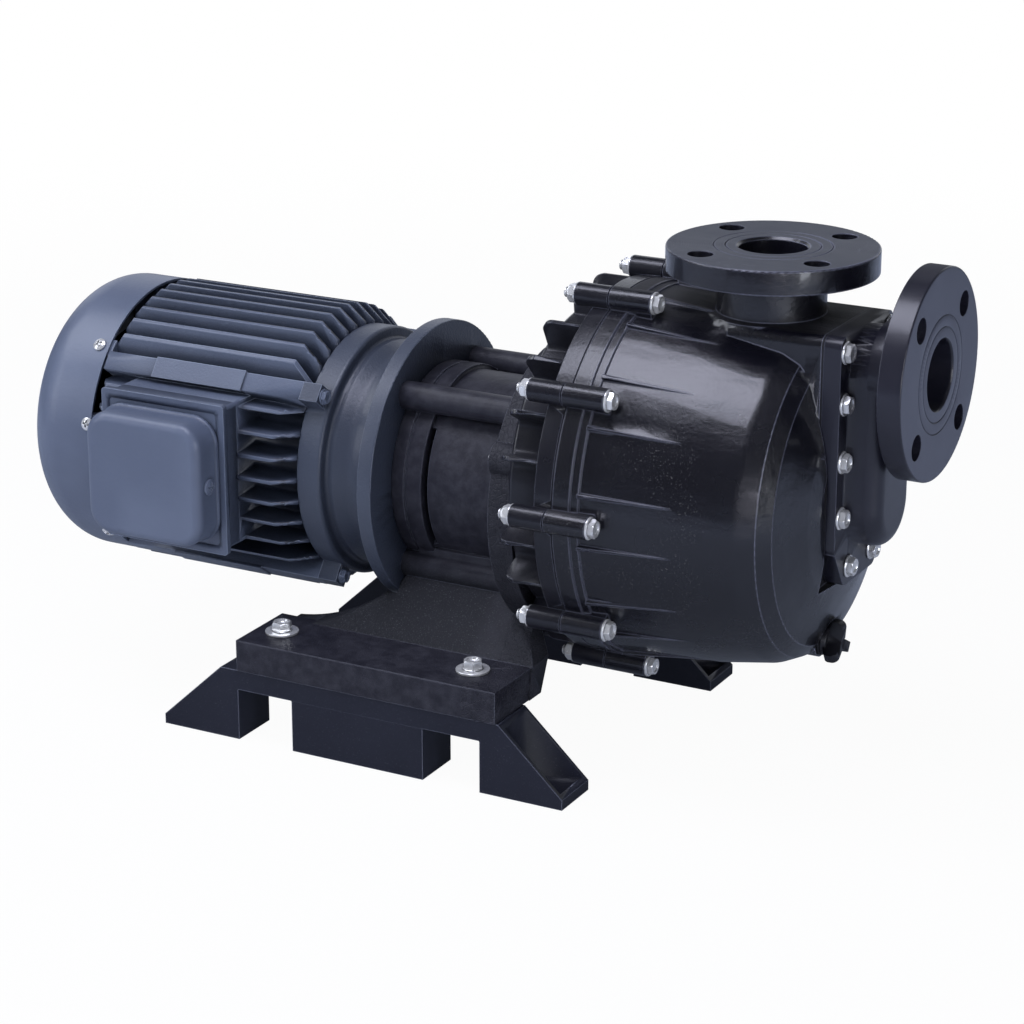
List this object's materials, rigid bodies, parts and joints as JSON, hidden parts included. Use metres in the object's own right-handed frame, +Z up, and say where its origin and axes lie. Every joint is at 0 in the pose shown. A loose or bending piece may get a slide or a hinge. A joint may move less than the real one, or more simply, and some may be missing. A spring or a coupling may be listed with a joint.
{
  "type": "chemical transfer pump",
  "caption": "Horizontal self-priming magnetic-drive chemical transfer pump: finned electric motor, bracket on two base rails, priming tank with suction check valve and flanged ports.",
  "frame": {"origin": "on the floor, in the middle of the four anchor holes of the base rails", "axes": "+X along the shaft from the motor to the suction flange, +Z up, the terminal box faces -Y"},
  "size_m": [0.731, 0.3162, 0.403],
  "materials": {
    "board": "matte",
    "bracket": "textured",
    "cast_hub": "matte",
    "ceramic": "satin",
    "copper": "satin",
    "fan_plastic": "matte",
    "lamination": "matte",
    "magnet": "satin",
    "motor_paint": "satin",
    "rail": "satin",
    "rubber": "matte",
    "steel": "satin",
    "wet_plastic": "gloss",
    "zinc": "bright"
  },
  "bodies": {
    "pump": {"base_bolts": "zinc", "base_washers": "zinc", "cable_entry_plug": "rubber", "casing_gasket": "rubber", "casing_screws": "zinc", "clamp_bolts": "zinc", "clamp_nuts": "zinc", "end_shield_bolts": "zinc", "fan_cover": "motor_paint", "fan_cover_screws": "zinc", "flap_pin": "ceramic", "front_base_rail": "rail", "front_bearing": "steel", "lid_screws": "motor_paint", "motor_bracket": "bracket", "motor_end_shield": "motor_paint", "motor_flange_bolts": "zinc", "motor_frame": "motor_paint", "rear_base_rail": "rail", "rear_bearing": "steel", "rear_casing": "wet_plastic", "rear_end_shield": "motor_paint", "spindle": "ceramic", "stator_core": "lamination", "stator_windings": "copper", "suction_bolts": "zinc", "suction_box": "wet_plastic", "suction_duct": "wet_plastic", "suction_gasket": "rubber", "tank_casing": "wet_plastic", "terminal_board": "board", "terminal_box_base": "motor_paint", "terminal_gasket": "rubber", "terminal_lid": "motor_paint", "volute": "wet_plastic"},
    "motor_rotor": {"motor_shaft": "steel", "shaft_key": "steel", "bearing_inner_rings": "steel", "rotor_core": "lamination", "cooling_fan": "fan_plastic", "drive_magnet_hub": "cast_hub", "drive_magnets": "magnet"},
    "impeller_unit": {"impeller": "wet_plastic", "impeller_bush": "ceramic", "impeller_magnet": "wet_plastic"},
    "check_flap": {"check_flap": "wet_plastic"},
    "drain_plug": {"drain_plug": "wet_plastic", "drain_seal": "rubber"}
  },
  "joints": [
    {"name": "rotor_spin", "type": "hinge", "parent": "pump", "child": "motor_rotor", "pos_m": [0, 0, 0.199], "axis": [1, 0, 0], "continuous": true},
    {"name": "impeller_spin", "type": "hinge", "parent": "pump", "child": "impeller_unit", "pos_m": [0, 0, 0.199], "axis": [1, 0, 0], "continuous": true},
    {"name": "flap_swing", "type": "hinge", "parent": "pump", "child": "check_flap", "pos_m": [0.351, 0, 0.344], "axis": [0, 1, 0], "range_deg": [0, 30]},
    {"name": "drain_draw", "type": "slide", "parent": "pump", "child": "drain_plug", "axis": [1, 0, 0], "range_m": [0, 0.02]}
  ],
  "couplings": [
    {"joint": "impeller_spin", "follows": "rotor_spin", "ratio": 1}
  ]
}
